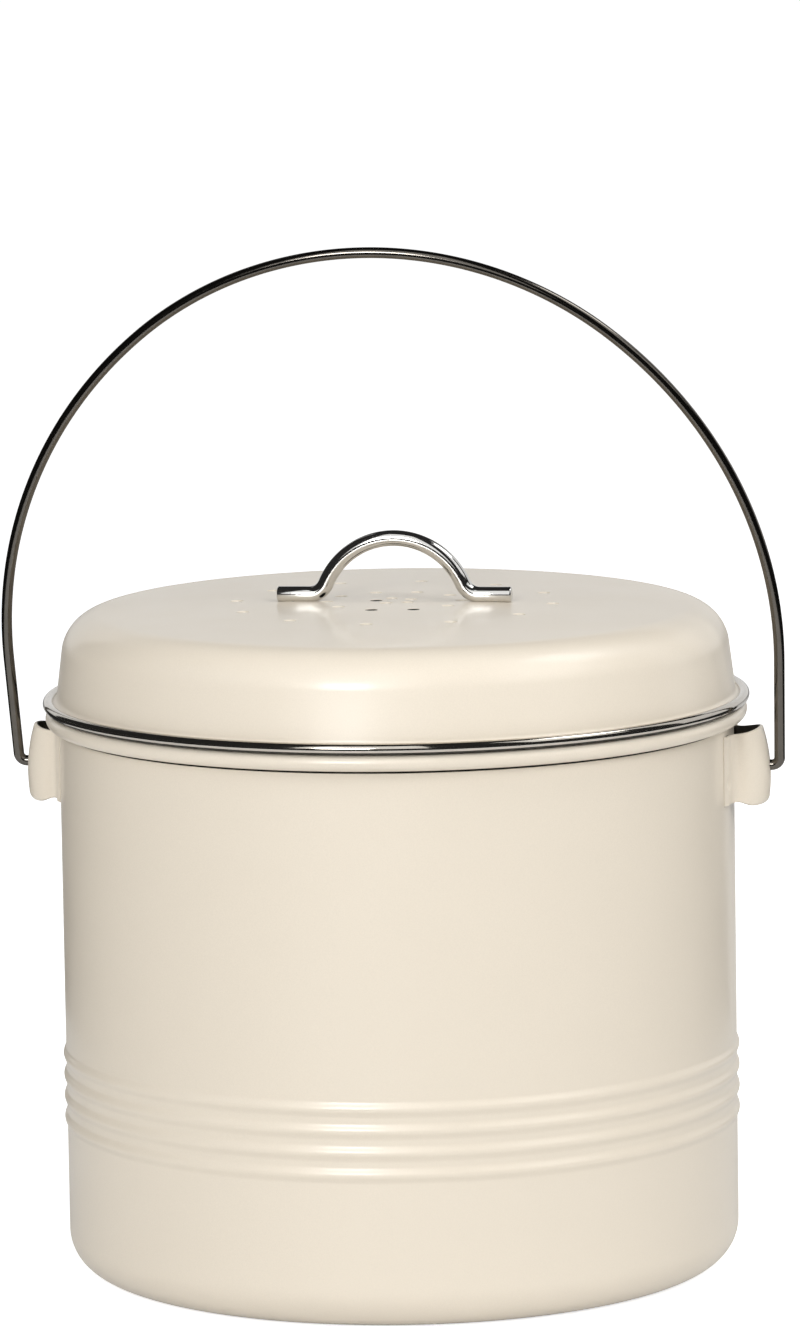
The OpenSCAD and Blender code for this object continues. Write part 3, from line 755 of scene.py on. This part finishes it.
def make_pad(foam):
    """The charcoal pad, cut from open foam: its edge is rounded a little by the cutting."""
    r = PAD_HIGH.y
    low, high = PAD_LOW.z, PAD_HIGH.z
    edge = 0.8 * MM
    outline = [(0, high)]
    outline += [(r * i / 12, high) for i in range(1, 12)]
    outline += arc(r - edge, high - edge, edge, 90, 0, 5)
    outline += arc(r - edge, low + edge, edge, 0, -90, 5)
    outline += [(r * i / 12, low) for i in range(11, 0, -1)]
    outline.append((0, low))
    pad = lathe("charcoal_pad", outline, steps=128)
    dress(pad, foam, "filter", "charcoal_filter")


# ---- Putting it together ----

def dress(piece, material, body, node):
    """Gives a new piece its material, and lets it stand for a node on a body."""
    if not piece.data.materials:
        piece.data.materials.append(material)
    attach(piece, body)
    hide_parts(node)


def repaint(material, *nodes):
    """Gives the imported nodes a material."""
    for name in nodes:
        node = frame["nodes"][name]
        node.data.materials.clear()
        node.data.materials.append(material)


def outward(turn, height):
    """The direction at a turn from the front to the right and a height, both in degrees."""
    return Vector((sind(turn) * cosd(height), -cosd(turn) * cosd(height), sind(height)))


def area_light(name, turn, height, distance, size, power, in_metal=False):
    """A soft light that looks at the caddy: angles in degrees, lengths in metres, power in watts."""
    data = bpy.data.lights.new(name, "AREA")
    data.shape = "RECTANGLE"
    data.size, data.size_y = size
    data.energy = power
    light = bpy.data.objects.new(name, data)
    middle = Vector((0, 0, 0.13))
    away = outward(turn, height)
    light.location = middle + away * distance
    light.rotation_euler = away.to_track_quat("Z", "Y").to_euler()
    light.visible_glossy = in_metal
    bpy.context.scene.collection.objects.link(light)


def make_lights():
    """Only the two small keys show in the metal."""
    area_light("key_left", -9, 20, 1.8, (0.5, 0.5), 12.3, True)
    area_light("key_right", 97, 54, 1.6, (0.5, 0.5), 4.1, True)
    area_light("left", -60, 25, 1.8, (1.0, 1.0), 7.9)
    area_light("right", 60, 30, 1.8, (1.0, 1.0), 15.4)
    area_light("high_left", -25, 50, 1.7, (1.0, 0.8), 4.2)
    area_light("back_right", 150, 10, 1.8, (1.0, 1.0), 4.5)
    area_light("top", 0, 86, 1.5, (1.2, 1.2), 3.4)


def level(turn):
    """The level direction at a turn from the front to the right, in degrees."""
    return Vector((sind(turn), -cosd(turn), 0))


def ball_patch(r, turns, heights):
    """Rows of points on a ball about the caddy's rim, by turns and heights in degrees."""
    across, up = 48, 12
    spread = [turns[0] + (turns[1] - turns[0]) * i / across for i in range(across + 1)]
    rows = []
    for j in range(up + 1):
        height = heights[0] + (heights[1] - heights[0]) * j / up
        rise = UP * (RIM_TOP + r * sind(height))
        rows.append([level(turn) * r * cosd(height) + rise for turn in spread])
    return rows


def make_card(name, rows, strength):
    """A card that shows only in reflections, through rows of points."""
    bm = bmesh.new()
    grid = [[bm.verts.new(point) for point in row] for row in rows]
    for a, b in zip(grid, grid[1:]):
        for i in range(len(a) - 1):
            bm.faces.new((a[i], a[i + 1], b[i + 1], b[i]))
    card = smooth_piece(name, bm)
    material = bpy.data.materials.new(name)
    material.use_nodes = True
    nodes, links = material.node_tree.nodes, material.node_tree.links
    nodes.clear()
    glow = nodes.new("ShaderNodeEmission")
    glow.inputs["Strength"].default_value = strength
    output = nodes.new("ShaderNodeOutputMaterial")
    links.new(glow.outputs[0], output.inputs["Surface"])
    card.data.materials.append(material)
    card.visible_camera = False
    card.visible_diffuse = False
    card.visible_transmission = False
    card.visible_shadow = False


def make_cards():
    """What the metal shows: a dark room with a white bank in front and one on the right."""
    dark, bright = 0.025, 1.1
    room_r, bank_r, table_r = 4.0, 1.9, 0.45
    make_card("dark_room", ball_patch(room_r, (-135, 112), (-2, 60)), dark)
    make_card("dark_back", ball_patch(room_r, (140, 220), (30, 60)), dark)
    make_card("dark_ceiling", ball_patch(4.1, (-180, 180), (58, 89.9)), dark)
    table_turns = range(-150, 151, 6)
    table_rows = [[level(turn) * r + UP * 3 * MM for turn in table_turns] for r in (table_r, room_r)]
    make_card("dark_table_edge", table_rows, dark)
    make_card("front_bank", ball_patch(bank_r, (-25, 18), (10, 62)), bright)
    make_card("right_bank", ball_patch(bank_r, (53, 91), (24, 60)), bright)


def make_world():
    """White wherever it is seen, plain or in a reflection, and a weaker light on the caddy."""
    fill, seen_white = 0.02, 1.0
    world = bpy.data.worlds.new("studio")
    bpy.context.scene.world = world
    world.use_nodes = True
    nodes, links = world.node_tree.nodes, world.node_tree.links
    nodes.clear()
    path = nodes.new("ShaderNodeLightPath")
    seen = nodes.new("ShaderNodeMath")
    seen.operation = "MAXIMUM"
    links.new(path.outputs["Is Camera Ray"], seen.inputs[0])
    links.new(path.outputs["Is Glossy Ray"], seen.inputs[1])
    seen_through = nodes.new("ShaderNodeMath")
    seen_through.operation = "MAXIMUM"
    links.new(seen.outputs[0], seen_through.inputs[0])
    links.new(path.outputs["Is Transmission Ray"], seen_through.inputs[1])
    soft = nodes.new("ShaderNodeBackground")
    soft.inputs["Strength"].default_value = fill
    white = nodes.new("ShaderNodeBackground")
    white.inputs["Strength"].default_value = seen_white
    mix = nodes.new("ShaderNodeMixShader")
    links.new(seen_through.outputs[0], mix.inputs["Fac"])
    links.new(soft.outputs[0], mix.inputs[1])
    links.new(white.outputs[0], mix.inputs[2])
    output = nodes.new("ShaderNodeOutputWorld")
    links.new(mix.outputs[0], output.inputs["Surface"])


def make_floor():
    """A plain white floor that keeps a soft shadow of the caddy, and dims a little near it."""
    half = 30.0
    seen_in_metal = 0.2
    near, far = 0.15, 0.9
    near_glow, far_glow = 0.75, 1.0
    bm = bmesh.new()
    corners = [bm.verts.new((x * half, y * half, 0)) for x, y in ((-1, -1), (1, -1), (1, 1), (-1, 1))]
    bm.faces.new(corners)
    floor = smooth_piece("floor", bm)
    material = bpy.data.materials.new("floor")
    material.use_nodes = True
    nodes, links = material.node_tree.nodes, material.node_tree.links
    shader = nodes["Principled BSDF"]
    shader.inputs["Base Color"].default_value = (0.8, 0.8, 0.8, 1)
    shader.inputs["Roughness"].default_value = 0.9
    shader.inputs["Specular IOR Level"].default_value = 0.0
    path = nodes.new("ShaderNodeLightPath")
    seen = nodes.new("ShaderNodeMath")
    seen.operation = "MULTIPLY_ADD"
    seen.inputs[1].default_value = seen_in_metal
    links.new(path.outputs["Is Glossy Ray"], seen.inputs[0])
    links.new(path.outputs["Is Camera Ray"], seen.inputs[2])
    glow = nodes.new("ShaderNodeEmission")
    place = nodes.new("ShaderNodeTexCoord")
    away = nodes.new("ShaderNodeVectorMath")
    away.operation = "LENGTH"
    links.new(place.outputs["Object"], away.inputs[0])
    fade = nodes.new("ShaderNodeMapRange")
    fade.interpolation_type = "SMOOTHSTEP"
    limits = (("From Min", near), ("From Max", far), ("To Min", near_glow), ("To Max", far_glow))
    for socket, number in limits:
        fade.inputs[socket].default_value = number
    links.new(away.outputs["Value"], fade.inputs["Value"])
    links.new(fade.outputs["Result"], glow.inputs["Strength"])
    dark = nodes.new("ShaderNodeEmission")
    dark.inputs["Strength"].default_value = 0.0
    choose = nodes.new("ShaderNodeMixShader")
    links.new(seen.outputs[0], choose.inputs["Fac"])
    links.new(dark.outputs[0], choose.inputs[1])
    links.new(glow.outputs[0], choose.inputs[2])
    add = nodes.new("ShaderNodeAddShader")
    links.new(shader.outputs[0], add.inputs[0])
    links.new(choose.outputs[0], add.inputs[1])
    links.new(add.outputs[0], nodes["Material Output"].inputs["Surface"])
    floor.data.materials.append(material)


def make_camera():
    """The photograph's view: a long lens from a little above, turned to the caddy's right."""
    turn = 8.0
    height = 8.11
    roll = -0.9
    distance = 2.3
    aim_side = 1.32 * MM
    aim_z = 180 * MM
    focal_pixels = 7761.4
    frame_pixels = 1326
    right = Vector((cosd(turn), sind(turn), 0))
    away = outward(turn, height)
    data = bpy.data.cameras.new("camera")
    data.sensor_fit = "VERTICAL"
    data.sensor_height = 36
    data.lens = focal_pixels / frame_pixels * data.sensor_height
    camera = bpy.data.objects.new("camera", data)
    camera.location = right * aim_side + UP * aim_z + away * distance
    look = away.to_track_quat("Z", "Y").to_matrix().to_4x4()
    spin = Matrix.Rotation(math.radians(roll), 4, "Z")
    camera.rotation_euler = (look @ spin).to_euler()
    bpy.context.scene.collection.objects.link(camera)
    bpy.context.scene.camera = camera


def main():
    paint = cream_enamel()
    plastic = pale_plastic()
    plate = zinc()
    dark = painted_shade()
    make_can(paint, dark)
    make_ear("right_bail_ear", 1, paint, dark, "right_ear")
    make_ear("left_bail_ear", -1, paint, dark, "left_ear")
    make_bail(bail_steel())
    make_lid(paint, trim_steel(), dark)
    make_handle(handle_chrome())
    make_pad(charcoal_foam())
    repaint(plastic, "lid_locating_ring", "filter_holder", "filter_cover")
    repaint(silicone(), "lid_seal")
    repaint(plate, "handle_screws", "handle_washers")
    repaint(bucket_plastic(), "inner_bucket")
    make_floor()
    make_world()
    make_lights()
    make_cards()
    make_camera()
    bpy.context.scene.view_settings.view_transform = "Standard"


main()
